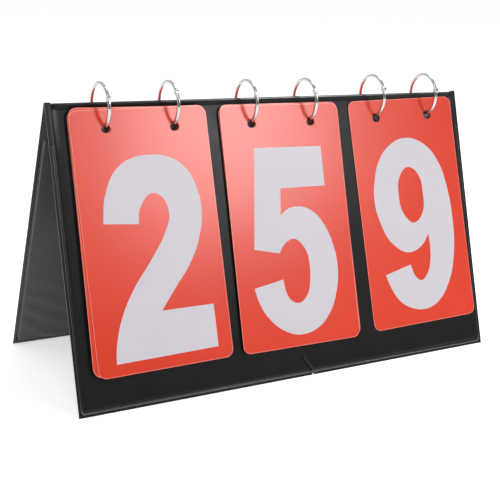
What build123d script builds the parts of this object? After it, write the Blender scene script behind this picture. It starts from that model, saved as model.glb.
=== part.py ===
from build123d import *

import os
from math import cos, degrees, radians, sin, sqrt

# Tabletop flip scoreboard: a folding tent stand with three stacks of ten number cards,
# each stack hung on two hinged snap rings that pass round the ridge.
# Millimetres. X runs along the ridge, the shown cards face -Y, Z is up and the hems
# stand on Z = 0. What turns over the top turns about one line, the ridge axis.

os.makedirs("parts", exist_ok=True)

# Stand, cut to size round the stacks of cards
side_margin = 10.8
foot_margin = 27.4
leg_angle = 19.2
ridge_radius = 1.6
skin = 0.4
board_thickness = 1.6
hem_width = 4.5
soft_fold_length = 27
fold_weld_width = 2.5
ear_radius = 0.8
groove_width = 1.2
groove_depth = 0.2
liner_edge_chamfer = 0.4
cut_overrun = 10

# Number cards
stack_names = ("left", "middle", "right")
shown_digits = (2, 5, 9)
cards_per_stack = 10
stack_gap = 12.2
stack_group_shift = 3.8
card_width = 108
card_height = 188.6
card_thickness = 0.3
card_corner_radius = 6.5
card_hole_radius = 3.8
card_hole_spacing = 54
card_hole_drop = 14.5
card_seat_gap = 0.35
card_stack_pitch = 0.45
top_card_tilts = (0.7, -0.4, 0.7)
under_card_tilt = 0.3
under_card_tilt_step = 70
loose_hole_drop = 0.8

# Snap rings
ring_radius = 16.5
ring_sags = (1.5, 1.9, 0)
wire_radius = 1.4
wire_play = 0.1
knuckle_angles = (152, 140, 152, 146, 152, 160)
half_turn = 180
eye_radius = 2.3
eye_thickness = 1.2
eye_play = 0.06
eye_turn_clearance = 0.15
rivet_radius = 0.75
rivet_play = 0.04
rivet_head_radius = 1.4
rivet_head_height = 0.2
rivet_head_chamfer = 0.1
lap_length = 4
lap_play = 0.25
fold_hole_radius = 4

# Elastic cord that stops the legs
cord_radius = 0.8
cord_play = 0.1
cord_hole_radius = 1.2
cord_hole_x = 1.5
cord_hole_rise = 16.4
cord_bend_radius = 1
notch_x = 9.5
notch_depth = 3.4
notch_play = 0.4
knot_radius = 1.9
knot_play = 0.05
loop_end_share = 0.85

# Worked out from the sizes above
stack_spacing = card_width + stack_gap
panel_width = len(stack_names) * stack_spacing - stack_gap + 2 * side_margin
leg_length = ring_radius + card_height - card_hole_drop + foot_margin
lean = radians(leg_angle)
axis_height = leg_length * cos(lean) - ridge_radius * sin(lean)
ridge_axis_point = (0, 0, axis_height)
face = ridge_radius
fold_thickness = 2 * skin
board_back = face - skin - board_thickness
liner_back = board_back - skin
board_width = panel_width - 2 * hem_width
board_top = soft_fold_length + fold_weld_width
board_bottom = leg_length - hem_width
sheet_bottom = leg_length + cut_overrun
cord_hole_depth = leg_length - cord_hole_rise
notch_top = leg_length - notch_depth
first_card_back = face + card_seat_gap
stack_places = [
    stack_group_shift + stack_spacing * (count - (len(stack_names) - 1) / 2)
    for count in range(len(stack_names))
]
ring_places = [
    (place + sign * card_hole_spacing / 2, sag)
    for place, sag in zip(stack_places, ring_sags)
    for sign in (-1, 1)
]

# The plane of each leg: local Y climbs to the ridge, local Z points outwards, and a depth
# down the leg is a negative local Y. Across is the sign that turns X into local X.
front_leg = Plane(
    origin=ridge_axis_point, x_dir=(1, 0, 0), z_dir=(0, -cos(lean), sin(lean))
)
rear_leg = Plane(
    origin=ridge_axis_point, x_dir=(-1, 0, 0), z_dir=(0, cos(lean), sin(lean))
)
legs = {"front": (front_leg, 1), "rear": (rear_leg, -1)}


def hole_line_depth(height_over_axis, hole_drop, sag):
    """How far down a leg the wire crosses a plane parallel to it, and a hole below that."""
    height_over_centre = height_over_axis + sag * sin(lean)
    return sag * cos(lean) + sqrt(ring_radius**2 - height_over_centre**2) + hole_drop


def keep(builder, name):
    """Label a finished piece and write it."""
    builder.part.label = name
    export_step(builder.part, f"parts/{name}.step")


def band(width, top, bottom, mode=Mode.ADD):
    """A rectangle on a leg plane between two depths below the ridge axis."""
    with Locations((0, -(top + bottom) / 2)):
        Rectangle(width, bottom - top, mode=mode)


def cut_cord_way(leg, across):
    """The cord's hole through a leg and its notch in the hem below."""
    with BuildSketch(leg.offset(face)) as way:
        with Locations((across * cord_hole_x, -cord_hole_depth)):
            Circle(cord_hole_radius)
        with Locations((across * notch_x, -(notch_top + cut_overrun / 2))):
            Rectangle(2 * cord_radius + notch_play, cut_overrun)
    extrude(way.sketch, amount=cut_overrun, both=True, mode=Mode.SUBTRACT)


# Cover, board and liner of each leg: the cover is flat with a weld line pressed along both
# sides and below the board, and the liner is drawn over the board and welded in the hems.
for side, (leg, across) in legs.items():
    with BuildPart() as cover:
        with BuildSketch(leg.offset(face - skin)):
            band(panel_width, soft_fold_length, sheet_bottom)
        extrude(amount=skin)
        with BuildSketch(leg.offset(face)):
            band(
                board_width + 2 * groove_width,
                soft_fold_length,
                board_bottom + groove_width,
            )
            band(board_width, soft_fold_length, board_bottom, Mode.SUBTRACT)
        extrude(amount=-groove_depth, mode=Mode.SUBTRACT)
        cut_cord_way(leg, across)
        split(bisect_by=Plane.XY, keep=Keep.TOP)
    keep(cover, f"{side}_cover")

    with BuildPart() as board:
        with BuildSketch(leg.offset(board_back)):
            band(board_width, board_top, board_bottom)
        extrude(amount=board_thickness)
        cut_cord_way(leg, across)
    keep(board, f"{side}_board")

    with BuildPart() as liner:
        with BuildSketch(leg.offset(liner_back)):
            band(board_width + 2 * skin, board_top - skin, board_bottom + skin)
        extrude(amount=board_thickness)
        inside = liner.faces().sort_by(Axis(leg.origin, leg.z_dir))[0]
        chamfer(inside.edges(), liner_edge_chamfer)
        with BuildSketch(leg.offset(face - fold_thickness)):
            band(panel_width, soft_fold_length, sheet_bottom)
        extrude(amount=skin)
        with BuildSketch(leg.offset(board_back)):
            band(board_width, board_top, board_bottom)
        extrude(amount=board_thickness, mode=Mode.SUBTRACT)
        cut_cord_way(leg, across)
        split(bisect_by=Plane.XY, keep=Keep.TOP)
    keep(liner, f"{side}_liner")


# Soft fold: the two welded skins bent over the ridge, sharper in the hems at both ends,
# where they stand up as small ears
ridge_section = Plane(origin=ridge_axis_point, x_dir=(0, 1, 0), z_dir=(1, 0, 0))


def leg_point(offset_out, depth, sign):
    """A point of the section at an offset from the leg's plane and a depth down it."""
    return (
        sign * (offset_out * cos(lean) + depth * sin(lean)),
        offset_out * sin(lean) - depth * cos(lean),
    )


def fold_profile(plane, outer_radius, inner_radius):
    """The bent skins across the ridge, with rounded bends."""
    inside_face = face - fold_thickness
    with BuildSketch(plane) as profile:
        with BuildLine():
            Polyline(
                leg_point(face, soft_fold_length, 1),
                (0, face / sin(lean)),
                leg_point(face, soft_fold_length, -1),
                leg_point(inside_face, soft_fold_length, -1),
                (0, inside_face / sin(lean)),
                leg_point(inside_face, soft_fold_length, 1),
                close=True,
            )
        make_face()
        if inner_radius > 0:
            on_ridge = profile.vertices().filter_by_position(Axis.X, -skin, skin)
            fillet(on_ridge.sort_by(Axis.Y)[0], inner_radius)
        fillet(profile.vertices().sort_by(Axis.Y)[-1], outer_radius)
    return profile.sketch


with BuildPart() as ridge_fold:
    bend = fold_profile(ridge_section, ridge_radius, ridge_radius - fold_thickness)
    extrude(bend, amount=board_width / 2, both=True)
    for end in (-1, 1):
        ear = fold_profile(ridge_section.offset(end * board_width / 2), ear_radius, 0)
        extrude(ear, amount=end * hem_width)
    for leg, across in legs.values():
        with BuildSketch(leg.offset(face)):
            for place, sag in ring_places:
                with Locations((across * place, -hole_line_depth(face - skin, 0, sag))):
                    Circle(fold_hole_radius)
        extrude(amount=2 * fold_thickness, both=True, mode=Mode.SUBTRACT)
keep(ridge_fold, "ridge_fold")


# Number cards. The outermost card of each front stack hangs on the wire. The others have
# their holes nearly round the wire, so that the ring's knuckle can pass when it turns.
def make_card(name, leg, across, place, slot, tilt, hole_drop, sag):
    """One card on its leg, slot 1 next to the cover."""
    back = first_card_back + (slot - 1) * card_stack_pitch
    depth = hole_line_depth(back + card_thickness / 2, hole_drop, sag)
    with BuildPart() as card:
        with BuildSketch(leg.offset(back)):
            with Locations(Location((across * place, -depth, 0), (0, 0, tilt))):
                with Locations((0, card_hole_drop - card_height / 2)):
                    RectangleRounded(card_width, card_height, card_corner_radius)
                with GridLocations(card_hole_spacing, 0, 2, 1):
                    Circle(card_hole_radius, mode=Mode.SUBTRACT)
        extrude(amount=card_thickness)
    keep(card, name)


for stack, place, shown, top_tilt, sag in zip(
    stack_names, stack_places, shown_digits, top_card_tilts, ring_sags
):
    for digit in range(cards_per_stack):
        under = abs(digit - shown)
        tilt = -under_card_tilt * cos(radians(under_card_tilt_step * (under - 1)))
        drop = loose_hole_drop
        if digit == shown:
            tilt = top_tilt
            tilt_drop = card_hole_spacing / 2 * sin(radians(abs(top_tilt)))
            drop = card_hole_radius - wire_radius - wire_play - tilt_drop
        name = f"{stack}_card_{digit}"
        if digit >= shown:
            make_card(name, front_leg, 1, place, cards_per_stack - digit, tilt, drop, sag)
        else:
            make_card(name, rear_leg, -1, place, digit + 1, tilt, drop, sag)


# Snap rings: each has a fixed half through the card holes, an opening half over the
# ridge, a rivet through the two flattened eyes and a half lap where the free ends meet
def ring_point(angle):
    """A point on the wire's centre line, in the ring's plane."""
    return (ring_radius * cos(radians(angle)), ring_radius * sin(radians(angle)))


def make_ring_half(name, plane, knuckle, turn):
    """Turn is 1 for the half that runs on from the knuckle and -1 for the other."""
    latch = knuckle + turn * half_turn
    direction = plane.from_local_coords(Vector(*ring_point(knuckle), 0)) - plane.origin
    lap_angle = degrees(lap_length / 2 / ring_radius)
    split_height = turn * eye_play / 2
    with BuildPart() as half:
        start = Plane(
            origin=plane.origin, x_dir=direction, z_dir=plane.z_dir.cross(direction)
        )
        with BuildSketch(start):
            with Locations((ring_radius, 0)):
                Circle(wire_radius)
        revolve(
            axis=Axis(plane.origin, plane.z_dir * turn),
            revolution_arc=half_turn + lap_angle,
        )
        with BuildSketch(plane.offset(split_height)):
            with Locations(ring_point(knuckle)):
                Circle(eye_radius + eye_turn_clearance)
            with Locations(Location((*ring_point(latch), 0), (0, 0, latch))):
                Rectangle(cut_overrun / 2, lap_length + 2 * lap_play)
        extrude(amount=-turn * cut_overrun, mode=Mode.SUBTRACT)
        with BuildSketch(plane.offset(split_height)):
            with Locations(ring_point(knuckle)):
                Circle(eye_radius)
        extrude(amount=turn * cut_overrun, mode=Mode.SUBTRACT)
        with BuildSketch(plane.offset(split_height)):
            with Locations(ring_point(knuckle)):
                Circle(eye_radius)
                Circle(rivet_radius + rivet_play, mode=Mode.SUBTRACT)
        extrude(amount=turn * eye_thickness)
    keep(half, name)


def make_rivet(name, plane, knuckle):
    """The pin through both eyes, with a flat head on each side."""
    grip = eye_play / 2 + eye_thickness
    with BuildPart() as rivet:
        with BuildSketch(plane):
            with Locations(ring_point(knuckle)):
                Circle(rivet_radius)
        extrude(amount=grip, both=True)
        for turn in (-1, 1):
            with BuildSketch(plane.offset(turn * grip)):
                with Locations(ring_point(knuckle)):
                    Circle(rivet_head_radius)
            extrude(amount=turn * rivet_head_height)
        ends = rivet.faces().sort_by(Axis.X)
        chamfer(ends[0].edges() + ends[-1].edges(), rivet_head_chamfer)
    keep(rivet, name)


for number, ((place, sag), knuckle) in enumerate(zip(ring_places, knuckle_angles), start=1):
    ring_plane = Plane(
        origin=(place, 0, axis_height - sag), x_dir=(0, 1, 0), z_dir=(1, 0, 0)
    )
    make_ring_half(f"ring_{number}_fixed_half", ring_plane, knuckle, 1)
    make_ring_half(f"ring_{number}_opening_half", ring_plane, knuckle, -1)
    make_rivet(f"ring_{number}_rivet", ring_plane, knuckle)


# Elastic cord: a knotted loop through each leg and round its hem, and a straight span
# between the knots that stops the legs from spreading
knot_out = liner_back - knot_radius - knot_play
knot_heights = {}
for side, (leg, across) in legs.items():
    outside = face + cord_radius + cord_play
    inside_out = liner_back - cord_radius - cord_play
    round_hem = notch_top + cord_radius + cord_play
    knot = leg.from_local_coords(Vector(across * cord_hole_x, -cord_hole_depth, knot_out))
    knot_heights[side] = knot
    route = [
        knot,
        leg.from_local_coords(Vector(across * cord_hole_x, -cord_hole_depth, outside)),
        leg.from_local_coords(Vector(across * notch_x, -round_hem, outside)),
        leg.from_local_coords(Vector(across * notch_x, -round_hem, inside_out)),
    ]
    back_to_knot = knot - route[-1]
    route.append(route[-1] + back_to_knot * (1 - loop_end_share * knot_radius / back_to_knot.length))
    with BuildPart() as loop:
        with BuildLine() as line:
            FilletPolyline(*route, radius=cord_bend_radius)
        with BuildSketch(Plane(origin=line.line @ 0, z_dir=line.line % 0)):
            Circle(cord_radius)
        sweep()
        with Locations(Location(knot, leg.location.orientation)):
            Sphere(knot_radius)
    keep(loop, f"cord_{side}_loop")

with BuildPart() as span:
    front_knot, rear_knot = knot_heights["front"], knot_heights["rear"]
    with BuildSketch(Plane(origin=front_knot, z_dir=rear_knot - front_knot)):
        Circle(cord_radius)
    extrude(amount=(rear_knot - front_knot).length)
    with Locations(front_knot, rear_knot):
        Sphere(knot_radius + knot_play, mode=Mode.SUBTRACT)
keep(span, "cord_span")
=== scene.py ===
from math import cos, exp, pi, radians, sin, sqrt

import bpy
from mathutils import Matrix, Vector, noise


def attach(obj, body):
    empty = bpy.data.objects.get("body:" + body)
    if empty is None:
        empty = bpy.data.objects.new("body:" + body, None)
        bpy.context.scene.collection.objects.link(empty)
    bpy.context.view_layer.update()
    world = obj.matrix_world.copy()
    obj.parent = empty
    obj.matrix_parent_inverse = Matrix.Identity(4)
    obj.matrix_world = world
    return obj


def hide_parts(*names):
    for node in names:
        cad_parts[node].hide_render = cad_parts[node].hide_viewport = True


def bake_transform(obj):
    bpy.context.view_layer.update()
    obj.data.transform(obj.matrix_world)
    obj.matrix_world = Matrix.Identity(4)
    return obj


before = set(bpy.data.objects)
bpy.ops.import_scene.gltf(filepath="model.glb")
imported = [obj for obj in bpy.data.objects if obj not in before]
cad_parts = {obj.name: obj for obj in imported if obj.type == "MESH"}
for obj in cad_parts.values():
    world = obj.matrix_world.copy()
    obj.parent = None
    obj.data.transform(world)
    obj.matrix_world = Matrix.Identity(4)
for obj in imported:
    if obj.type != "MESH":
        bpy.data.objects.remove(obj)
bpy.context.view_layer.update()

# Sizes of the stand in millimetres, as in the part
MM = 0.001
PANEL_WIDTH = 370
LEG_LENGTH = 218
LEAN = radians(19.2)
FACE = 1.6
SKIN = 0.4
BOARD = 1.6
HEM = 4.5
SOFT_FOLD = 27
WELD = 2.5
AXIS_Z = LEG_LENGTH * cos(LEAN) - FACE * sin(LEAN)
BOARD_SIDE = PANEL_WIDTH / 2 - HEM
BOARD_TOP = SOFT_FOLD + WELD
BOARD_BOTTOM = LEG_LENGTH - HEM
LINER_BACK = FACE - SKIN - BOARD - SKIN
FOLD_HOLE_RADIUS = 4.0

# Cards
STACKS = ("left", "middle", "right")
SHOWN = (2, 5, 9)
CARDS = 10
CARD_WIDTH = 108
CARD_HEIGHT = 188.6
CARD_THICKNESS = 0.3
CARD_CORNER = 6.5
# Width of the pale band round a card's face, partly the pale cut edge and partly a painted edge
# highlight
PALE_EDGE_AND_SHEEN_WIDTH = 0.55
CARD_EDGE_ROUND = 0.06
CARD_HOLE_DROP = 14.5
CARD_HOLE_RADIUS = 3.8
CARD_HOLE_X = 27
CARD_SEAT_GAP = 0.35
CARD_STACK_PITCH = 0.45
STACK_GAP = 12.2
STACK_SHIFT = 3.8
STACK_X = tuple(STACK_SHIFT + (CARD_WIDTH + STACK_GAP) * n for n in (-1, 0, 1))
LOOSE_HOLE_DROP = 0.8
HANG_CLEARANCE = 0.25
PRINT_THICKNESS = 0.03
PRINT_GAP = 0.002

# Turns of the cards in their own plane, in degrees
TOP_TILTS = (0.45, -0.4, 0.95)
LEFT_NEXT_TILT = -0.7
UNDER_TILT = -0.3
UNDER_TILT_STEP = 70

# Rings
RINGS = range(1, 7)
RING_RADIUS = 16.5
RING_SAGS = (1.5, 1.9, 0)
WIRE_RADIUS = 1.4

# Cord
CORD_RADIUS = 0.8
CORD_PLAY = 0.1
CORD_HOLE_RADIUS = 1.2
CORD_HOLE_X = 1.5
CORD_HOLE_DEPTH = LEG_LENGTH - 16.4
NOTCH_X = 9.5
NOTCH_TOP = LEG_LENGTH - 3.4
NOTCH_PLAY = 0.4
NOTCH_WIDTH = 2 * CORD_RADIUS + NOTCH_PLAY
KNOT_RADIUS = 1.9
KNOT_PLAY = 0.05
KNOT_OUT = LINER_BACK - (KNOT_RADIUS + KNOT_PLAY)


def only(*objects):
    """Leave just these objects selected, the first one active."""
    bpy.ops.object.select_all(action="DESELECT")
    for item in objects:
        item.select_set(True)
    bpy.context.view_layer.objects.active = objects[0]


def leg_place(side, x, depth, out):
    """A place on a leg in metres: side is -1 for the front leg and 1 for the rear one."""
    return Vector(
        (
            x * MM,
            side * (out * cos(LEAN) + depth * sin(LEAN)) * MM,
            (AXIS_Z + out * sin(LEAN) - depth * cos(LEAN)) * MM,
        )
    )


def leg_matrix(side):
    """The leg's own axes: x to the right as seen from outside, y up the leg, z outwards."""
    right = Vector((-side, 0, 0))
    up = Vector((0, -side * sin(LEAN), cos(LEAN)))
    out = Vector((0, side * cos(LEAN), sin(LEAN)))
    turn = Matrix((right, up, out)).transposed().to_4x4()
    return Matrix.Translation((0, 0, AXIS_Z * MM)) @ turn


def wire_depth(out, sag):
    """How far down a leg a ring's wire crosses a plane parallel to the leg."""
    return sag * cos(LEAN) + sqrt(RING_RADIUS**2 - (out + sag * sin(LEAN)) ** 2)


def ease(value):
    """0 below 0, 1 above 1 and smooth between."""
    held = min(max(value, 0), 1)
    return held * held * (3 - 2 * held)


def fade_in(value, start, length):
    """0 up to the start, 1 from a length beyond it and smooth between."""
    return ease((value - start) / length)


def fade_out(value, end, length):
    """1 up to a length before the end, 0 from the end on and smooth between."""
    return ease((end - value) / length)


# Parts of materials
def new_material(name):
    material = bpy.data.materials.new(name)
    material.use_nodes = True
    tree = material.node_tree
    return material, tree, tree.nodes["Principled BSDF"]


def noise_value(tree, place, scale, detail):
    """Noise from 0 to 1 over the coordinates that a place socket gives."""
    texture = tree.nodes.new("ShaderNodeTexNoise")
    texture.inputs["Scale"].default_value = scale
    texture.inputs["Detail"].default_value = detail
    tree.links.new(place, texture.inputs["Vector"])
    return texture.outputs["Fac"]


def spread(tree, value, band, result):
    """Map a band of a value onto the two ends of the result, and hold it beyond them."""
    node = tree.nodes.new("ShaderNodeMapRange")
    node.inputs["From Min"].default_value = band[0]
    node.inputs["From Max"].default_value = band[1]
    node.inputs["To Min"].default_value = result[0]
    node.inputs["To Max"].default_value = result[1]
    tree.links.new(value, node.inputs["Value"])
    return node.outputs["Result"]


def mix_colours(tree, factor, first, second):
    """The first colour where the factor is 0 and the second where it is 1."""
    mix = tree.nodes.new("ShaderNodeMix")
    mix.data_type = "RGBA"
    mix.inputs["A"].default_value = (*first, 1)
    mix.inputs["B"].default_value = (*second, 1)
    tree.links.new(factor, mix.inputs["Factor"])
    return mix


def colour_surface(tree, shader, factor, first, second):
    """Colour a surface from the first colour to the second by a factor from 0 to 1."""
    mix = mix_colours(tree, factor, first, second)
    tree.links.new(mix.outputs["Result"], shader.inputs["Base Color"])


def vector_math(tree, operation, first):
    """A calculation on one linked vector."""
    node = tree.nodes.new("ShaderNodeVectorMath")
    node.operation = operation
    tree.links.new(first, node.inputs[0])
    return node


def add_bump(tree, shader, height, strength, distance, below=None):
    bump = tree.nodes.new("ShaderNodeBump")
    bump.inputs["Strength"].default_value = strength
    bump.inputs["Distance"].default_value = distance
    tree.links.new(height, bump.inputs["Height"])
    if below is not None:
        tree.links.new(below.outputs["Normal"], bump.inputs["Normal"])
    tree.links.new(bump.outputs["Normal"], shader.inputs["Normal"])
    return bump


# Camera, lights and floor, in metres and degrees
CAMERA_PLACE = (-0.42608, -0.68047, 0.32923)
CAMERA_TURN = (72.7945, -3.4799, -30.2846)
CAMERA_LENS = 74.21
CAMERA_SENSOR = 36
VIEW_END = 30
FLOOR_SIZE = 6
FLOOR_GLOW = 0.5
ROOM_DEPTH_BAND = (-0.9, 0.35)
ROOM_BRIGHTNESS = (0.2, 0.9)


def aim_camera():
    data = bpy.data.cameras.new("photo_camera")
    data.sensor_width = CAMERA_SENSOR
    data.lens = CAMERA_LENS
    data.clip_end = VIEW_END
    camera = bpy.data.objects.new("photo_camera", data)
    camera.location = CAMERA_PLACE
    camera.rotation_euler = [radians(angle) for angle in CAMERA_TURN]
    bpy.context.scene.collection.objects.link(camera)
    bpy.context.scene.camera = camera


def hang_lamp(name, place, target, width, height, power):
    data = bpy.data.lights.new(name, "AREA")
    data.shape = "RECTANGLE"
    data.size = width
    data.size_y = height
    data.energy = power
    lamp = bpy.data.objects.new(name, data)
    lamp.location = place
    lamp.rotation_euler = (Vector(target) - Vector(place)).to_track_quat("-Z", "Y").to_euler()
    bpy.context.scene.collection.objects.link(lamp)


def light_world():
    """A white room behind the object and a dim one in front, plain white to the camera."""
    world = bpy.data.worlds.new("studio")
    world.use_nodes = True
    tree = world.node_tree
    background = tree.nodes["Background"]
    place = tree.nodes.new("ShaderNodeTexCoord")
    parts = tree.nodes.new("ShaderNodeSeparateXYZ")
    tree.links.new(place.outputs["Generated"], parts.inputs[0])
    depth = spread(tree, parts.outputs["Y"], band=ROOM_DEPTH_BAND, result=ROOM_BRIGHTNESS)
    path = tree.nodes.new("ShaderNodeLightPath")
    shown = tree.nodes.new("ShaderNodeMath")
    shown.operation = "MAXIMUM"
    tree.links.new(path.outputs["Is Camera Ray"], shown.inputs[0])
    tree.links.new(depth, shown.inputs[1])
    tree.links.new(shown.outputs[0], background.inputs["Strength"])
    background.inputs["Color"].default_value = (1, 1, 1, 1)
    bpy.context.scene.world = world


def lay_floor():
    """A pale table that glows a little towards the camera and in mirror images."""
    bpy.ops.object.select_all(action="DESELECT")
    bpy.ops.mesh.primitive_plane_add(size=FLOOR_SIZE)
    floor_plane = bpy.context.object
    floor_plane.name = "floor"
    material, tree, shader = new_material("white_table")
    shader.inputs["Base Color"].default_value = (0.86, 0.86, 0.86, 1)
    shader.inputs["Roughness"].default_value = 0.7
    shader.inputs["Specular IOR Level"].default_value = 0.2
    path = tree.nodes.new("ShaderNodeLightPath")
    seen = tree.nodes.new("ShaderNodeMath")
    seen.operation = "MAXIMUM"
    glow = tree.nodes.new("ShaderNodeMath")
    glow.operation = "MULTIPLY"
    glow.inputs[1].default_value = FLOOR_GLOW
    tree.links.new(path.outputs["Is Camera Ray"], seen.inputs[0])
    tree.links.new(path.outputs["Is Glossy Ray"], seen.inputs[1])
    tree.links.new(seen.outputs[0], glow.inputs[0])
    shader.inputs["Emission Color"].default_value = (1, 1, 1, 1)
    tree.links.new(glow.outputs[0], shader.inputs["Emission Strength"])
    floor_plane.data.materials.append(material)


# Materials
CARD_RED = (0.69, 0.04, 0.014)
CARD_LIGHTER_RED = (0.73, 0.049, 0.019)
# Pale pink round each card's face: partly the cut edge's own colour, partly a painted edge
# highlight
CARD_EDGE_PALE_AND_SHEEN = (0.82, 0.2, 0.15)
PALE_EDGE_AND_SHEEN_SOFTNESS = 0.1
MARK_DARKNESS = 0.9


def vinyl_material(name, dark, light, roughness, grain, mirror):
    """Soft black vinyl: fine leather grain, faint clouds of colour and uneven gloss."""
    material, tree, shader = new_material(name)
    shader.inputs["Specular IOR Level"].default_value = mirror
    place = tree.nodes.new("ShaderNodeTexCoord").outputs["UV"]
    clouds = noise_value(tree, place, scale=14, detail=3)
    cloudy = spread(tree, clouds, band=(0.3, 0.7), result=(0, 1))
    colour_surface(tree, shader, cloudy, dark, light)
    gloss = noise_value(tree, place, scale=45, detail=4)
    uneven = spread(tree, gloss, band=(0.3, 0.7), result=roughness)
    tree.links.new(uneven, shader.inputs["Roughness"])
    pebbles = tree.nodes.new("ShaderNodeTexVoronoi")
    pebbles.feature = "SMOOTH_F1"
    pebbles.inputs["Scale"].default_value = 1600
    pebbles.inputs["Smoothness"].default_value = 0.4
    tree.links.new(place, pebbles.inputs["Vector"])
    fine = add_bump(tree, shader, pebbles.outputs["Distance"], strength=grain, distance=0.0002)
    swell = noise_value(tree, place, scale=60, detail=2)
    add_bump(tree, shader, swell, strength=0.16, distance=0.0006, below=fine)
    return material


def pale_edge_and_sheen_band(tree, place):
    """0 on a card's face and 1 in a band round its outline, whose pale colour is partly the pale
    cut edge and partly a painted edge highlight. The card's map holds the place from its middle, so
    the band follows the outline round the corners."""
    from_middle = vector_math(tree, "ABSOLUTE", place)
    inner = vector_math(tree, "SUBTRACT", from_middle.outputs[0])
    inner.inputs[1].default_value = (
        (CARD_WIDTH / 2 - CARD_CORNER) * MM,
        (CARD_HEIGHT / 2 - CARD_CORNER) * MM,
        0,
    )
    beyond = vector_math(tree, "MAXIMUM", inner.outputs[0])
    reach = vector_math(tree, "LENGTH", beyond.outputs[0])
    rim = (CARD_CORNER - PALE_EDGE_AND_SHEEN_WIDTH) * MM
    soft = PALE_EDGE_AND_SHEEN_SOFTNESS * MM
    return spread(tree, reach.outputs["Value"], band=(rim - soft, rim + soft), result=(0, 1))


def card_material():
    """Glossy red plastic sheet, with a pale band round each face that is partly the pale cut edge
    and partly a painted edge highlight.
    """
    material, tree, shader = new_material("red_card_plastic")
    place = tree.nodes.new("ShaderNodeTexCoord")
    clouds = noise_value(tree, place.outputs["Object"], scale=9, detail=2)
    cloudy = spread(tree, clouds, band=(0.35, 0.65), result=(0, 1))
    red = mix_colours(tree, cloudy, CARD_RED, CARD_LIGHTER_RED)
    # A pale band round the face: partly the pale cut edge, partly a painted edge highlight
    edge_pale_and_sheen = pale_edge_and_sheen_band(tree, place.outputs["UV"])
    with_edge_pale_and_sheen = mix_colours(tree, edge_pale_and_sheen, CARD_RED, CARD_EDGE_PALE_AND_SHEEN)
    tree.links.new(red.outputs["Result"], with_edge_pale_and_sheen.inputs["A"])
    tree.links.new(with_edge_pale_and_sheen.outputs["Result"], shader.inputs["Base Color"])
    smear = noise_value(tree, place.outputs["Object"], scale=22, detail=1)
    smeared = spread(tree, smear, band=(0.1, 0.9), result=(0.25, 0.27))
    tree.links.new(smeared, shader.inputs["Roughness"])
    wave = noise_value(tree, place.outputs["Object"], scale=16, detail=1)
    add_bump(tree, shader, wave, strength=0.12, distance=0.001)
    return material


def print_material():
    """Screen-printed pale ink, a little duller than the plastic."""
    material, tree, shader = new_material("pale_print")
    place = tree.nodes.new("ShaderNodeTexCoord").outputs["Object"]
    clouds = noise_value(tree, place, scale=30, detail=3)
    colour_surface(tree, shader, clouds, (0.585, 0.557, 0.605), (0.625, 0.597, 0.645))
    shader.inputs["Roughness"].default_value = 0.45
    grain = noise_value(tree, place, scale=2500, detail=2)
    add_bump(tree, shader, grain, strength=0.1, distance=0.00005)
    return material


def metal_material(name, colour, roughness):
    """Bright plated wire with faint, slightly darker drawing marks."""
    material, tree, shader = new_material(name)
    place = tree.nodes.new("ShaderNodeTexCoord").outputs["Object"]
    shader.inputs["Metallic"].default_value = 1
    marks = noise_value(tree, place, scale=900, detail=3)
    colour_surface(tree, shader, marks, [MARK_DARKNESS * c for c in colour], colour)
    uneven = spread(tree, marks, band=(0.35, 0.65), result=roughness)
    tree.links.new(uneven, shader.inputs["Roughness"])
    add_bump(tree, shader, marks, strength=0.08, distance=0.00005)
    return material


def board_material():
    """Grey board with paper fibres."""
    material, tree, shader = new_material("grey_board_paper")
    place = tree.nodes.new("ShaderNodeTexCoord").outputs["Object"]
    fibres = noise_value(tree, place, scale=700, detail=4)
    colour_surface(tree, shader, fibres, (0.26, 0.22, 0.16), (0.36, 0.31, 0.24))
    shader.inputs["Roughness"].default_value = 0.9
    add_bump(tree, shader, fibres, strength=0.3, distance=0.0001)
    return material


def cord_material():
    """Black elastic cord with the slanting bands of a braid."""
    material, tree, shader = new_material("black_elastic_braid")
    place = tree.nodes.new("ShaderNodeTexCoord").outputs["Object"]
    braid = tree.nodes.new("ShaderNodeTexWave")
    braid.wave_type = "BANDS"
    braid.bands_direction = "DIAGONAL"
    braid.inputs["Scale"].default_value = 700
    braid.inputs["Distortion"].default_value = 1.5
    tree.links.new(place, braid.inputs["Vector"])
    bands = braid.outputs["Fac"]
    colour_surface(tree, shader, bands, (0.006, 0.006, 0.006), (0.022, 0.022, 0.024))
    shader.inputs["Roughness"].default_value = 0.8
    add_bump(tree, shader, bands, strength=0.5, distance=0.0002)
    return material


# Vinyl sheets over the boards and the ridge, in millimetres. The hem bends are how round
# the skins turn over the ridge beside the boards, and a foot is where a skin ends.
BEND_STEPS = 14
WIDE_STEP = 5
CREASED_STEP = 2.5
HALF_FOLD_ON_MAP = 2.5
HEM_SOFTNESS = 1.8
ROWS_EVEN_FROM = 12
COVER_HEM_BEND = 1.25
COVER_FOOT = LEG_LENGTH - 0.2
LINING_HEM_BEND = 0.55
LINING_FOOT = LEG_LENGTH - 0.55
SMOOTH_BELOW = radians(35)
HOLE_SIDES = 32
CUTTER_DEPTH = 8
NOTCH_CUTTER_LENGTH = 10

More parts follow.
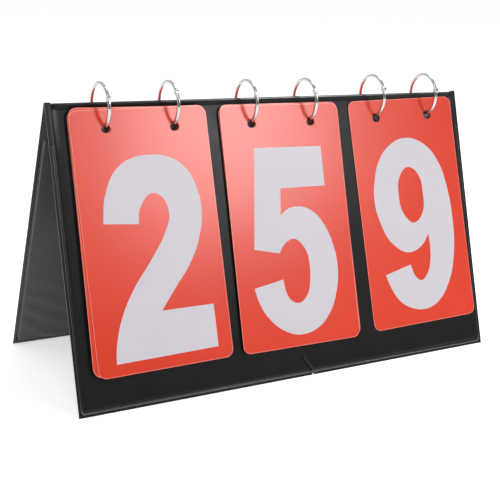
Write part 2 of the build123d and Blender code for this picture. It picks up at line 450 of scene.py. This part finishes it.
# How far the skins' forms rise or sink, in millimetres
RIDGE_SINK = 0.34
RIDGE_SINK_START = 1.2
RIDGE_SINK_RUN = 1.8
BEAD_RISE = 0.9
BEAD_WAVER = 0.05
COVER_WELD_SINK = 0.16
FOOT_WELD_SINK = 0.36
COVER_SWELL = 0.12
PUCKER = 0.1
BROAD_WAVE = 0.12
RIDGE_WAVE = 0.22
HEM_WAVE = 0.12
LINING_SLACK = 0.42
LINING_SLACK_WAVE = 0.1
LINING_WELD_RISE = 0.38
BOARD_PLAY = 0.05
CREASE_SINK = 1.7
CREASE_SLOPE = 0.5
CREASE_WANDER = 9
FIRST_CREASE = 2.6
FIRST_CREASE_SHARE = 0.6
SECOND_CREASE = 2.1
SECOND_SLANT_SHARE = 0.71
SECOND_BEND_SHARE = 1.7
LINING_WAVE = 0.27
BAND_SOFTNESS = 0.25
RIDGE_WAVE_REACH = 12


def side_stations():
    """Places across a sheet: close together in the hems and welds, then evenly apart."""
    insets = [0, 0.3, 1, 2, 3, 3.25, 3.7, 4.1, 4.5, 4.9, 5.4, 6.2, 7.5, 9.5, 12, 15, 18.5, 22]
    half = [PANEL_WIDTH / 2 - inset for inset in insets]
    half += [WIDE_STEP * i for i in range(33)]
    return sorted({-v for v in half} | set(half))


def leg_stations():
    """Depths down a leg: close together at the ridge and the weld lines, and evenly apart
    between them, with smaller steps where the lining creases."""
    ridge = [1.2, 2, 2.8, 3.6, 4.6, 6, 8, 10.5, 13, 16, 19, 22, 24.5, 26.5]
    top_weld = [BOARD_TOP + step for step in (-1.3, -0.9, -0.5, 0, 0.5, 1.1, 2.1, 3.5)]
    middle = [37 + WIDE_STEP * i for i in range(22)]
    creased = [145 + CREASED_STEP * i for i in range(21)]
    foot_steps = [-16, -12.5, -9, -6.5, -4.5, -2.8, -1.6, -0.8, -0.3, 0]
    foot_steps += [0.4, 0.9, 1.3, 1.8, 2.3, 2.7, 3.5, 4, 4.3]
    foot_weld = [BOARD_BOTTOM + step for step in foot_steps]
    return ridge + top_weld + middle + creased + foot_weld


def make_sheet(name, out, hem_bend, rise, foot):
    """One skin from the front hem over the ridge to the rear hem. Out is its distance from
    the ridge axis, hem_bend the radius of its bend beside the boards, and rise(side, x,
    depth) moves it further out, in millimetres."""
    xs = side_stations()
    depths = [d for d in leg_stations() if d < foot] + [foot]
    bend_angle = pi / 2 - LEAN
    bends = [bend_angle * (2 * i / BEND_STEPS - 1) for i in range(BEND_STEPS + 1)]
    run = [(-1, d, None) for d in reversed(depths)]
    run += [(0, 0, b) for b in bends]
    run += [(1, d, None) for d in depths]
    bpy.ops.object.select_all(action="DESELECT")
    bpy.ops.mesh.primitive_grid_add(
        x_subdivisions=len(xs) - 1, y_subdivisions=len(run) - 1, size=1
    )
    sheet = bpy.context.object
    sheet.name = name
    sheet.data.name = name
    map_points = {}
    for vertex in sheet.data.vertices:
        i = round((vertex.co.x + 0.5) * (len(xs) - 1))
        j = round((vertex.co.y + 0.5) * (len(run) - 1))
        x = xs[i]
        side, depth, bend = run[j]
        hem = fade_in(abs(x), start=BOARD_SIDE - HEM_SOFTNESS / 2, length=HEM_SOFTNESS)
        radius = out + (hem_bend - out) * hem
        height = (out - radius) / sin(LEAN)
        if bend is None:
            # A tighter bend ends further up the leg, and the rows below it make up for that
            bend_end = -height * cos(LEAN)
            place = depth
            if depth < ROWS_EVEN_FROM:
                place = bend_end + (ROWS_EVEN_FROM - bend_end) * depth / ROWS_EVEN_FROM
            vertex.co = leg_place(side, x, place, out + rise(side, x, depth))
            map_points[vertex.index] = (x * MM, side * (depth + HALF_FOLD_ON_MAP) * MM)
        else:
            out_here = radius + rise(0, x, bend)
            across = out_here * sin(bend)
            up = AXIS_Z + height + out_here * cos(bend)
            vertex.co = Vector((x * MM, across * MM, up * MM))
            map_points[vertex.index] = (x * MM, HALF_FOLD_ON_MAP * bend / bend_angle * MM)
    layer = sheet.data.uv_layers.active or sheet.data.uv_layers.new(name="sheet")
    for loop in sheet.data.loops:
        layer.data[loop.index].uv = map_points[loop.vertex_index]
    return sheet


def thicken_sheet(sheet, outwards):
    """Give the skin its thickness and smooth shading."""
    only(sheet)
    solid = sheet.modifiers.new("thickness", "SOLIDIFY")
    solid.thickness = SKIN * MM
    solid.offset = 1 if outwards else -1
    solid.use_even_offset = False
    bpy.ops.object.modifier_apply(modifier=solid.name)
    bpy.ops.object.shade_smooth_by_angle(angle=SMOOTH_BELOW)


def hole_cutter(side, x, depth, radius):
    """A cylinder across a leg."""
    bpy.ops.mesh.primitive_cylinder_add(
        vertices=HOLE_SIDES, radius=radius * MM, depth=CUTTER_DEPTH * MM
    )
    cutter = bpy.context.object
    spot = leg_place(side, x, depth, 0)
    cutter.data.transform(Matrix.Translation(spot) @ leg_matrix(side).to_3x3().to_4x4())
    return cutter


def notch_cutter(side):
    """A block across a leg's hem, where the cord bends round it."""
    bpy.ops.mesh.primitive_cube_add(size=1)
    cutter = bpy.context.object
    spot = leg_place(side, -side * NOTCH_X, NOTCH_TOP + NOTCH_CUTTER_LENGTH / 2, 0)
    sizes = (NOTCH_WIDTH * MM, NOTCH_CUTTER_LENGTH * MM, CUTTER_DEPTH * MM, 1)
    turn = leg_matrix(side).to_3x3().to_4x4()
    cutter.data.transform(Matrix.Translation(spot) @ turn @ Matrix.Diagonal(sizes))
    return cutter


def open_holes(sheet):
    """Cut the ring holes, the cord hole and the hem notch on both sides of the ridge."""
    bpy.ops.object.select_all(action="DESELECT")
    cutters = []
    for side in (-1, 1):
        for x, sag in zip(STACK_X, RING_SAGS):
            depth = wire_depth(FACE - SKIN, sag)
            for ring_x in (x - CARD_HOLE_X, x + CARD_HOLE_X):
                cutters.append(hole_cutter(side, ring_x, depth, FOLD_HOLE_RADIUS))
        cord_x = -side * CORD_HOLE_X
        cutters.append(hole_cutter(side, cord_x, CORD_HOLE_DEPTH, CORD_HOLE_RADIUS))
    for side in (-1, 1):
        cutters.append(notch_cutter(side))
    only(*cutters)
    bpy.ops.object.join()
    tool = bpy.context.object
    cut = sheet.modifiers.new("holes", "BOOLEAN")
    cut.operation = "DIFFERENCE"
    cut.solver = "EXACT"
    cut.object = tool
    only(sheet)
    bpy.ops.object.modifier_apply(modifier=cut.name)
    bpy.data.objects.remove(tool)


def patches(x, depth, across, down, seed):
    """Smooth noise between 0 and 1, in patches about this far across and down."""
    return 0.5 + 0.5 * noise.noise(Vector((x / across, depth / down, seed)))


def in_band(value, low, high):
    """1 between low and high and 0 outside them, with soft edges."""
    over_low = ease((value - low) / BAND_SOFTNESS + 0.5)
    under_high = ease((high - value) / BAND_SOFTNESS + 0.5)
    return over_low * under_high


def side_fade(x):
    """1 over the board and 0 in the side hems."""
    return fade_out(abs(x), end=BOARD_SIDE, length=3)


def outside_board(x, depth, with_top=True):
    """How far a place is outside the board's outline, negative inside."""
    over_side = abs(x) - BOARD_SIDE
    over_end = depth - BOARD_BOTTOM
    if with_top:
        over_end = max(over_end, BOARD_TOP - depth)
    if over_side > 0 and over_end > 0:
        return sqrt(over_side**2 + over_end**2)
    return max(over_side, over_end)


def ridge_crease(x, depth):
    """Both skins sink below the ridge's bead and rise again to where the board begins."""
    sunk = 1 - exp(-max(depth - RIDGE_SINK_START, 0) / RIDGE_SINK_RUN)
    return -RIDGE_SINK * sunk * fade_out(depth, end=BOARD_TOP - 1, length=26) * side_fade(x)


def ridge_waves(x, depth, side, away):
    """Faint folds of the cover between the ridge and just below the board's top."""
    reach = BOARD_TOP + RIDGE_WAVE_REACH
    if depth >= reach or abs(x) >= BOARD_SIDE:
        return 0.0
    waves = RIDGE_WAVE * patches(x, depth, across=22, down=18, seed=11 + side)
    between = fade_in(depth, start=0, length=5) * fade_out(depth, end=reach, length=16)
    return waves * (between * fade_out(away, end=0, length=4))


def cover_rise(side, x, depth):
    """The outer skin swells a little over the board, rounds over its rim into the weld, and
    sinks in faint broad waves below the ridge. On the ridge, side is 0 and depth is the
    angle of the bend."""
    bead = BEAD_RISE * side_fade(x)
    if side == 0:
        waver = BEAD_WAVER * patches(x, 0.3, across=14, down=1, seed=0)
        return bead * (depth / (pi / 2 - LEAN)) ** 2 - waver * bead
    bead *= fade_out(depth, end=2.8, length=2.7)
    away = outside_board(x, depth, with_top=False)
    weld = -COVER_WELD_SINK - FOOT_WELD_SINK * fade_in(depth, start=BOARD_BOTTOM - 5, length=5)
    back_up = min(max((away - 0.4) / 2.2, 0), 1)
    weld *= fade_in(away, start=-0.8, length=1.2) * (1 - back_up)
    swell = COVER_SWELL * fade_out(away, end=0, length=5) * fade_in(depth, start=6, length=30)
    pucker = 0
    if away < 0:
        pucker = PUCKER * patches(x, depth, across=5, down=5, seed=3.1)
        pucker *= fade_in(away, start=-9, length=7)
    waves = BROAD_WAVE * patches(x, depth, across=55, down=60, seed=7 + side)
    hem_wave = 0
    if away > 2:
        hem_wave = HEM_WAVE * patches(x, depth, across=30, down=30, seed=17 + side)
    waves *= fade_out(away, end=0, length=3)
    lean_in = waves + ridge_waves(x, depth, side, away) + hem_wave
    return weld + swell + bead + ridge_crease(x, depth) - pucker - lean_in


def corner_creases(x, depth):
    """Two overlaid runs of creases that slant up from the lower corners, from 0 to 1 and
    strongest in the corners."""
    corner = fade_in(depth, start=120, length=80) * fade_in(abs(x), start=70, length=90)
    along = depth - (PANEL_WIDTH / 2 - abs(x)) * CREASE_SLOPE
    bend = CREASE_WANDER * patches(x, depth, across=32, down=40, seed=31)
    first = sin((along + bend) / FIRST_CREASE)
    second = sin((SECOND_SLANT_SHARE * along + SECOND_BEND_SHARE * bend) / SECOND_CREASE)
    crease = FIRST_CREASE_SHARE * first + (1 - FIRST_CREASE_SHARE) * second
    uneven = 0.3 + 0.7 * patches(x, depth, across=20, down=12, seed=5)
    return corner * (ease(crease + 0.2) * uneven)


def lining_rise(side, x, depth):
    """The lining lies on the cover in the hems and rises over the board inside them, with
    creases in its lower corners."""
    if side == 0:
        return 0
    away = outside_board(x, depth)
    if depth < BOARD_TOP - 2:
        slack_wave = LINING_SLACK_WAVE * patches(x, depth, across=20, down=15, seed=23)
        loose = (LINING_SLACK + slack_wave) * side_fade(x)
        return ridge_crease(x, depth) - loose * fade_in(depth, start=0, length=6)
    drop = (BOARD + BOARD_PLAY) * fade_out(away, end=1.6, length=1.1)
    weld = LINING_WELD_RISE * in_band(away, low=1.5, high=2.7)
    inner = fade_out(away, end=0.6, length=5)
    broad = LINING_WAVE * patches(x, depth, across=45, down=50, seed=41 + side)
    return weld - drop - inner * (CREASE_SINK * corner_creases(x, depth) + broad)


# Printed digits
# Outline points in millimetres: across from the card's centre line, down from its top, and
# how the outline passes: c corner, h level, v upright, a any way
DIGIT_OUTLINES = {
    0: [
        [(0, 32.9, "h"), (40.5, 78.3, "v"), (40.5, 131.6, "v"), (0, 177.5, "h"),
         (-40.5, 131.6, "v"), (-40.5, 78.3, "v")],
        [(0, 58.5, "h"), (13.5, 82.2, "v"), (13.5, 127.6, "v"), (0, 151.8, "h"),
         (-13.5, 127.6, "v"), (-13.5, 82.2, "v")],
    ],
    1: [
        [(-3, 34.3, "c"), (17, 34.3, "c"), (17, 179.4, "c"), (-11, 179.4, "c"), (-11, 70.4, "c"),
         (-34, 77.3, "c"), (-34, 56.6, "c"), (-15, 48.7, "a")],
    ],
    2: [
        [(1.8, 34.1, "h"), (21.8, 37.7, "a"), (33, 46.9, "a"), (39.1, 60.4, "a"),
         (41.2, 74.3, "v"), (37.4, 94.9, "a"), (27.2, 114.7, "a"), (12.5, 132, "a"),
         (-0.1, 146.9, "c"), (41.9, 147.4, "c"), (42.1, 179.2, "c"), (-39.6, 179.9, "c"),
         (-38.3, 169.1, "a"), (-32, 149.2, "a"), (-20.5, 129.5, "a"), (-4.1, 109.8, "a"),
         (9.7, 90.6, "a"), (14.4, 77.8, "v"), (2.8, 61.8, "h"), (-7.8, 71.6, "a"),
         (-10.4, 83.2, "c"), (-37.4, 80.7, "c"), (-33.4, 60.4, "a"), (-20.7, 41, "a")],
    ],
    3: [
        [(-1, 32.9, "h"), (37, 66.4, "v"), (22, 101.5, "c"), (40.5, 137.5, "v"), (0, 177.5, "h"),
         (-39.5, 136.5, "c"), (-13, 132.6, "c"), (-0.5, 153.3, "h"), (13.5, 134.5, "v"),
         (-3, 114.8, "h"), (-11, 114.8, "c"), (-11, 90.6, "c"), (-3, 90.6, "h"), (11.5, 73.3, "v"),
         (-0.5, 57, "h"), (-11.5, 75.3, "c"), (-37.5, 72.3, "c")],
    ],
    4: [
        [(-3, 34.3, "c"), (27, 34.3, "c"), (27, 123.7, "c"), (41.5, 123.7, "c"), (41.5, 149.3, "c"),
         (27, 149.3, "c"), (27, 179.4, "c"), (1, 179.4, "c"), (1, 149.3, "c"), (-42, 149.3, "c"),
         (-42, 123.7, "c")],
        [(1, 123.7, "c"), (1, 74.3, "c"), (-21, 123.7, "c")],
    ],
    5: [
        [(-27.1, 32.9, "c"), (34.1, 33.9, "c"), (34.2, 65.4, "c"), (-7.3, 65.2, "c"),
         (-9.6, 86, "c"), (-2.6, 81.6, "a"), (5.6, 80.2, "h"), (19.9, 84.8, "a"),
         (31.2, 98.5, "a"), (37.2, 115.6, "a"), (38.8, 128.6, "v"), (34.9, 151.2, "a"),
         (24.9, 168.7, "a"), (12.4, 177.5, "a"), (-0.2, 179.8, "h"), (-16.4, 175, "a"),
         (-30.1, 162.6, "a"), (-36.4, 151, "a"), (-39.2, 140, "c"), (-13, 135.6, "c"),
         (-11.7, 144.8, "a"), (-7.6, 152.3, "a"), (-0.6, 155.2, "h"), (7.4, 150.1, "a"),
         (11.4, 139.2, "a"), (12.5, 127.6, "v"), (8.9, 112.2, "a"), (-0.2, 105, "h"),
         (-8.9, 108.7, "a"), (-13.9, 115.3, "c"), (-36, 110.4, "c")],
    ],
    7: [
        [(-38.5, 34.3, "c"), (39.5, 34.3, "c"), (39.5, 58.5, "c"), (20, 107.9, "a"),
         (4, 179.4, "c"), (-24.5, 179.4, "c"), (-9, 107.9, "a"), (10.5, 64, "c"),
         (-38.5, 64, "c")],
    ],
    8: [
        [(0, 32.9, "h"), (37, 67.4, "v"), (24, 100.5, "c"), (40.5, 137.5, "v"), (0, 177.5, "h"),
         (-40.5, 137.5, "v"), (-24, 100.5, "c"), (-37, 67.4, "v")],
        [(0, 57, "h"), (11.5, 73.8, "v"), (0, 90.6, "h"), (-11.5, 73.8, "v")],
        [(0, 113.8, "h"), (13.5, 133.5, "v"), (0, 153.3, "h"), (-13.5, 133.5, "v")],
    ],
    9: [
        [(0, 32.9, "h"), (19.2, 39, "a"), (32.8, 54.9, "a"), (39.8, 79.7, "a"),
         (41.5, 103.9, "v"), (38, 136.5, "a"), (29, 158.7, "a"), (15.1, 173.3, "a"),
         (-0.5, 177.5, "h"), (-11.5, 175.4, "a"), (-23.6, 168.4, "a"), (-32.2, 155.8, "a"),
         (-36.3, 144.4, "c"), (-9.5, 138.7, "c"), (-8.1, 143.4, "a"), (-5.5, 149.3, "a"),
         (0.3, 153.1, "h"), (7.7, 147.7, "a"), (11.6, 139, "a"), (13.5, 125.6, "a"),
         (13.3, 115.3, "c"), (4.5, 124.3, "a"), (-8.6, 128.5, "h"), (-25.5, 119.4, "a"),
         (-35.1, 102.2, "a"), (-38.8, 80.7, "v"), (-35.7, 64.5, "a"), (-29.7, 50.6, "a"),
         (-17.1, 38.3, "a")],
        [(-0.3, 57.4, "h"), (8.9, 63, "a"), (12.5, 78.8, "v"), (9.4, 97.5, "a"),
         (-0.5, 104.3, "h"), (-9.7, 97, "a"), (-13.3, 78.8, "v"), (-8.9, 63, "a")],
    ],
}

# The 6 is the 9 turned by half round the middle of the digits
DIGIT_MIDDLE = 106.45
DIGIT_OUTLINES[6] = [
    [(-across, 2 * DIGIT_MIDDLE - down, way) for across, down, way in line]
    for line in DIGIT_OUTLINES[9]
]

# How far a handle reaches towards the next point, where the outline turns from level to
# upright between them and where it doesn't
QUARTER_REACH_SHARE = 0.58
PLAIN_REACH_SHARE = 0.38
OUTLINE_STEPS = 9
OUTLINE_EDGE_STEPS = 2


def outline_place(across, down):
    """An outline point in the card's own axes, in metres."""
    return (across * MM, (CARD_HOLE_DROP - down) * MM, 0)


def outline_handle(here, other, way, other_way):
    """Where the handle from one outline point towards another lies."""
    across, down = other[0] - here[0], other[1] - here[1]
    if way == "h":
        reach = QUARTER_REACH_SHARE if other_way == "v" else PLAIN_REACH_SHARE
        return outline_place(here[0] + reach * across, here[1])
    reach = QUARTER_REACH_SHARE if other_way == "h" else PLAIN_REACH_SHARE
    return outline_place(here[0], here[1] + reach * down)


def cut_sheet(name, outlines, thickness, bevel):
    """A flat piece in the card's own axes: x across, y up from the hole line, z out."""
    curve = bpy.data.curves.new(name, "CURVE")
    curve.dimensions = "2D"
    curve.fill_mode = "BOTH"
    curve.resolution_u = OUTLINE_STEPS
    curve.extrude = (thickness / 2 - bevel) * MM
    curve.bevel_depth = bevel * MM
    curve.bevel_resolution = OUTLINE_EDGE_STEPS
    curve.offset = -bevel * MM
    for outline in outlines:
        line = curve.splines.new("BEZIER")
        line.bezier_points.add(len(outline) - 1)
        line.use_cyclic_u = True
        for k, (across, down, way) in enumerate(outline):
            point = line.bezier_points[k]
            point.co = outline_place(across, down)
            if way in "hv":
                before, after = outline[k - 1], outline[(k + 1) % len(outline)]
                point.handle_left_type = "FREE"
                point.handle_right_type = "FREE"
                point.handle_left = outline_handle((across, down), before, way, before[2])
                point.handle_right = outline_handle((across, down), after, way, after[2])
            else:
                kind = "VECTOR" if way == "c" else "AUTO"
                point.handle_left_type = kind
                point.handle_right_type = kind
    shape = bpy.data.objects.new(name, curve)
    bpy.context.scene.collection.objects.link(shape)
    only(shape)
    bpy.ops.object.convert(target="MESH")
    return bpy.context.object


def cut_card():
    """A blank card with rounded corners, two holes and softened edges."""
    side, foot = CARD_WIDTH / 2, CARD_HEIGHT
    inner_side, inner_foot = side - CARD_CORNER, foot - CARD_CORNER
    rim = [(-inner_side, 0, "h"), (inner_side, 0, "h"), (side, CARD_CORNER, "v")]
    rim += [(side, inner_foot, "v"), (inner_side, foot, "h"), (-inner_side, foot, "h")]
    rim += [(-side, inner_foot, "v"), (-side, CARD_CORNER, "v")]
    outlines = [rim]
    for x in (-CARD_HOLE_X, CARD_HOLE_X):
        top, bottom = CARD_HOLE_DROP - CARD_HOLE_RADIUS, CARD_HOLE_DROP + CARD_HOLE_RADIUS
        left, right = x - CARD_HOLE_RADIUS, x + CARD_HOLE_RADIUS
        hole = [(x, top, "h"), (right, CARD_HOLE_DROP, "v"), (x, bottom, "h")]
        outlines.append(hole + [(left, CARD_HOLE_DROP, "v")])
    blank = cut_sheet("card_blank", outlines, CARD_THICKNESS, CARD_EDGE_ROUND)
    layer = blank.data.uv_layers.active or blank.data.uv_layers.new(name="card")
    middle = (CARD_HOLE_DROP - CARD_HEIGHT / 2) * MM
    for loop in blank.data.loops:
        place = blank.data.vertices[loop.vertex_index].co
        layer.data[loop.index].uv = (place.x, place.y - middle)
    return blank


def card_tilt(stack, digit):
    """How far a card is turned in its own plane, in degrees."""
    n = STACKS.index(stack)
    if digit == SHOWN[n]:
        return TOP_TILTS[n]
    if (stack, digit) == ("left", SHOWN[0] + 1):
        return LEFT_NEXT_TILT
    under = abs(digit - SHOWN[n])
    return UNDER_TILT * cos(radians(UNDER_TILT_STEP * (under - 1)))


def card_matrix(stack, digit):
    """Where a card's middle plane lies, and whether the card hangs in front."""
    n = STACKS.index(stack)
    tilt = card_tilt(stack, digit)
    hole_drop = LOOSE_HOLE_DROP
    if digit == SHOWN[n]:
        hole_drop = CARD_HOLE_RADIUS - WIRE_RADIUS - HANG_CLEARANCE
        hole_drop -= CARD_HOLE_X * sin(radians(abs(tilt)))
    in_front = digit >= SHOWN[n]
    level = CARDS - digit if in_front else digit + 1
    back = FACE + CARD_SEAT_GAP + (level - 1) * CARD_STACK_PITCH
    out = back + CARD_THICKNESS / 2
    depth = wire_depth(out, RING_SAGS[n]) + hole_drop
    side = -1 if in_front else 1
    spot = Vector((-side * STACK_X[n], -depth, out)) * MM
    turn = Matrix.Rotation(radians(tilt), 4, "Z")
    return leg_matrix(side) @ Matrix.Translation(spot) @ turn, in_front


def place_copy(first, name, place, look):
    """A copy with a mesh of its own, moved to its place and given its material."""
    copy = first.copy()
    copy.data = first.data.copy()
    copy.name = name
    copy.data.name = name
    bpy.context.scene.collection.objects.link(copy)
    copy.data.transform(place)
    copy.data.materials.clear()
    copy.data.materials.append(look)
    return copy


def dress_cards(plastic, ink):
    """Thirty cards, each with its digit on the face that the reader sees."""
    blank = cut_card()
    print_out = (CARD_THICKNESS + PRINT_THICKNESS + 2 * PRINT_GAP) / 2
    above = Matrix.Translation((0, 0, print_out * MM))
    for digit in range(CARDS):
        print_sheet = cut_sheet(f"digit_{digit}", DIGIT_OUTLINES[digit], PRINT_THICKNESS, 0)
        for stack in STACKS:
            node = f"{stack}_card_{digit}"
            place, in_front = card_matrix(stack, digit)
            if not in_front:
                place = place @ Matrix.Rotation(pi, 4, "Y")
            card = place_copy(blank, f"{node}_sheet", place, plastic)
            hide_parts(node)
            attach(card, node)
            printed = place_copy(print_sheet, f"{stack}_print_{digit}_ink", place @ above, ink)
            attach(printed, node)
        bpy.data.objects.remove(print_sheet)
    bpy.data.objects.remove(blank)


# Elastic cord, in millimetres
KNOT_STEPS = 24
KNOT_TURN = 1.05
KNOT_SWING = 0.42
KNOT_LIFT = 0.62
KNOT_STRAND_RADIUS = 0.62
SPAN_INSET = 1.5
SPAN_STEPS = 24
CORD_ROUND_STEPS = 3
CORD_STEPS = 8


def make_cord(name, points, radius, material):
    """A round cord whose line follows the points smoothly."""
    curve = bpy.data.curves.new(name, "CURVE")
    curve.dimensions = "3D"
    curve.bevel_depth = radius * MM
    curve.bevel_resolution = CORD_ROUND_STEPS
    curve.resolution_u = CORD_STEPS
    curve.use_fill_caps = True
    line = curve.splines.new("NURBS")
    line.points.add(len(points) - 1)
    for point, place in zip(line.points, points):
        point.co = (*place, 1)
    line.order_u = 3
    line.use_endpoint_u = True
    cord = bpy.data.objects.new(name, curve)
    bpy.context.scene.collection.objects.link(cord)
    curve.materials.append(material)
    only(cord)
    bpy.ops.object.convert(target="MESH")
    return bpy.context.object


def loop_route(side):
    """From the knot out through the leg, down its face, round the hem and back inside."""
    hole_x = -side * CORD_HOLE_X
    notch_x = -side * NOTCH_X
    hem = NOTCH_TOP + (CORD_RADIUS + CORD_PLAY)
    return [
        leg_place(side, hole_x, CORD_HOLE_DEPTH, KNOT_OUT),
        leg_place(side, hole_x, CORD_HOLE_DEPTH, 2.3),
        leg_place(side, hole_x - side * 0.6, CORD_HOLE_DEPTH + 1.1, 2.6),
        leg_place(side, hole_x - side * 4, CORD_HOLE_DEPTH + 7, 2.5),
        leg_place(side, notch_x, hem - 1.2, 2.6),
        leg_place(side, notch_x, hem + 0.4, 2.2),
        leg_place(side, notch_x, hem + 0.5, -1.4),
        leg_place(side, notch_x, hem - 1.2, -1.9),
        leg_place(side, hole_x - side * 4, CORD_HOLE_DEPTH + 7, -2.0),
        leg_place(side, hole_x - side * 0.6, CORD_HOLE_DEPTH + 1.4, KNOT_OUT + 0.2),
    ]


def knot_route(middle):
    """A three-lobed overhand knot round a middle point."""
    points = []
    for i in range(KNOT_STEPS + 1):
        turn = 2 * pi * i / KNOT_STEPS
        reach = KNOT_TURN + KNOT_SWING * cos(3 * turn)
        lift = KNOT_LIFT * sin(3 * turn)
        points.append(middle + Vector((reach * cos(2 * turn), lift, reach * sin(2 * turn))) * MM)
    return points


def tie_cord(braid):
    """A knotted loop through each leg and its hem, and the straight span between them."""
    knots = {}
    for side, leg in ((-1, "front"), (1, "rear")):
        knots[side] = leg_place(side, -side * CORD_HOLE_X, CORD_HOLE_DEPTH, KNOT_OUT)
        loop = make_cord(f"cord_{leg}_tie", loop_route(side), CORD_RADIUS, braid)
        knot = make_cord(f"cord_{leg}_knot", knot_route(knots[side]), KNOT_STRAND_RADIUS, braid)
        only(loop, knot)
        bpy.ops.object.join()
        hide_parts(f"cord_{leg}_loop")
        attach(loop, f"{leg}_leg")
    inset = (knots[1] - knots[-1]).normalized() * SPAN_INSET * MM
    start = knots[-1] + inset
    end = knots[1] - inset
    points = [start + (end - start) * i / SPAN_STEPS for i in range(SPAN_STEPS + 1)]
    span = make_cord("cord_span_elastic", points, CORD_RADIUS, braid)
    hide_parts("cord_span")
    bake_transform(span)


def repaint(names, material):
    """Give CAD nodes the finished material."""
    for name in names:
        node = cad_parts[name]
        node.data.materials.clear()
        node.data.materials.append(material)


def dress_stand():
    """The cover and the lining, each one skin over both legs, and the boards between."""
    cover = make_sheet("vinyl_cover", FACE, COVER_HEM_BEND, cover_rise, COVER_FOOT)
    thicken_sheet(cover, outwards=False)
    open_holes(cover)
    cover_look = vinyl_material(
        "black_cover_vinyl",
        dark=(0.0085, 0.0080, 0.0088),
        light=(0.0110, 0.0106, 0.0114),
        roughness=(0.28, 0.34),
        grain=0.07,
        mirror=0.15,
    )
    cover.data.materials.append(cover_look)
    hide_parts("front_cover", "rear_cover", "ridge_fold")
    inside = FACE - 2 * SKIN
    lining = make_sheet("vinyl_lining", inside, LINING_HEM_BEND, lining_rise, LINING_FOOT)
    thicken_sheet(lining, outwards=True)
    open_holes(lining)
    lining_look = vinyl_material(
        "dark_lining_vinyl",
        dark=(0.069, 0.069, 0.071),
        light=(0.083, 0.083, 0.085),
        roughness=(0.32, 0.38),
        grain=0.08,
        mirror=0.5,
    )
    lining.data.materials.append(lining_look)
    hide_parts("front_liner", "rear_liner")
    for sheet in (cover, lining):
        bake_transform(sheet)
    repaint(("front_board", "rear_board"), board_material())


aim_camera()
light_world()
lay_floor()
hang_lamp(
    "high_softbox", place=(-0.9, -1.1, 1.5), target=(0, 0, 0.1), width=1.0, height=1.0, power=8
)
hang_lamp(
    "front_right_softbox",
    place=(0.78, -1.36, 0.9),
    target=(0, 0, 0.17),
    width=0.42,
    height=0.5,
    power=9.7,
)
hang_lamp(
    "high_back_softbox",
    place=(0.6, 0.28, 1.1),
    target=(0, 0, 0.2),
    width=0.28,
    height=0.28,
    power=9,
)

tie_cord(cord_material())
dress_stand()
dress_cards(card_material(), print_material())
chrome = metal_material("ring_chrome", (0.55, 0.55, 0.55), roughness=(0.1, 0.16))
nickel = metal_material("rivet_nickel", (0.5, 0.49, 0.47), roughness=(0.16, 0.24))
repaint([f"ring_{i}_{half}_half" for i in RINGS for half in ("fixed", "opening")], chrome)
repaint([f"ring_{i}_rivet" for i in RINGS], nickel)
bpy.context.scene.view_settings.view_transform = "Standard"
